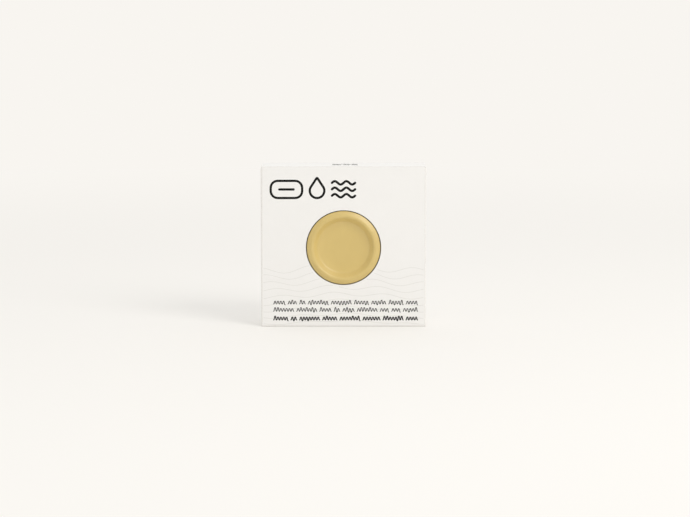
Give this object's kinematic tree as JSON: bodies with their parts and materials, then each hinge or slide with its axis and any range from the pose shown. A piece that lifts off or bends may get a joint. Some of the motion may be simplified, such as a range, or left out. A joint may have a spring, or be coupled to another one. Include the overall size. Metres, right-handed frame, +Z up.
{
  "type": "boxed magnetic soap holder",
  "caption": "Upright folding carton with a round window that shows a dish-shaped magnetic soap holder, which slides out of it; hinged tuck-in lid, card tray and toothed soap cap.",
  "frame": {"origin": "middle of the carton's base, on the surface that it stands on", "axes": "+Z up, -Y towards the viewer out of the window, +X to the right seen from the front"},
  "size_m": [0.1, 0.0309, 0.0975],
  "materials": {
    "coated_board": "matt coated white",
    "raw_board": "uncoated off-white",
    "yellow_plastic": "fine matt moulded",
    "grey_plastic": "matt moulded",
    "steel": "stamped bright",
    "nickel": "nickel plated",
    "foam_tape": "matt foam",
    "waxed_paper": "smooth siliconised"
  },
  "bodies": {
    "carton": {"front_panel": "coated_board", "back_panel": "coated_board", "left_side_panel": "coated_board", "right_side_panel": "coated_board", "glue_flap": "raw_board", "bottom_outer_panel": "coated_board", "bottom_inner_panel": "raw_board", "bottom_dust_flap_left": "raw_board", "bottom_dust_flap_right": "raw_board", "tray_front_plate": "raw_board", "tray_rear_plate": "raw_board", "tray_side_left": "raw_board", "tray_side_right": "raw_board", "soap_cap_pocket": "raw_board"},
    "lid": {"top_lid": "coated_board"},
    "tuck_flap": {"top_tuck_flap": "coated_board"},
    "dust_flap_left": {"top_dust_flap_left": "coated_board"},
    "dust_flap_right": {"top_dust_flap_right": "coated_board"},
    "holder": {"holder_body": "yellow_plastic", "magnet_pot": "steel", "magnet": "nickel", "magnet_retainer": "grey_plastic", "base_plate": "yellow_plastic", "adhesive_pad": "foam_tape", "release_liner": "waxed_paper"},
    "cap": {"soap_cap": "steel"}
  },
  "joints": [
    {"name": "lid_hinge", "type": "hinge", "parent": "carton", "child": "lid", "pos_m": [0, 0.015, 0.097], "axis": [-1, 0, 0], "range_deg": [0, 175]},
    {"name": "tuck_fold", "type": "hinge", "parent": "lid", "child": "tuck_flap", "pos_m": [0, -0.01425, 0.097], "axis": [-1, 0, 0], "range_deg": [0, 52.5]},
    {"name": "dust_fold_left", "type": "hinge", "parent": "carton", "child": "dust_flap_left", "pos_m": [-0.05, 0, 0.09625], "axis": [0, -1, 0], "range_deg": [0, 87.5]},
    {"name": "dust_fold_right", "type": "hinge", "parent": "carton", "child": "dust_flap_right", "pos_m": [0.05, 0, 0.09625], "axis": [0, 1, 0], "range_deg": [0, 87.5]},
    {"name": "holder_slide", "type": "slide", "parent": "carton", "child": "holder", "axis": [0, -1, 0], "range_m": [0, 0.045]},
    {"name": "cap_lift", "type": "slide", "parent": "carton", "child": "cap", "axis": [0, 0, 1], "range_m": [0, 0.05]}
  ],
  "couplings": [
    {"joint": "tuck_fold", "follows": "lid_hinge", "ratio": 0.3},
    {"joint": "dust_fold_left", "follows": "lid_hinge", "ratio": 0.5},
    {"joint": "dust_fold_right", "follows": "lid_hinge", "ratio": 0.5}
  ]
}
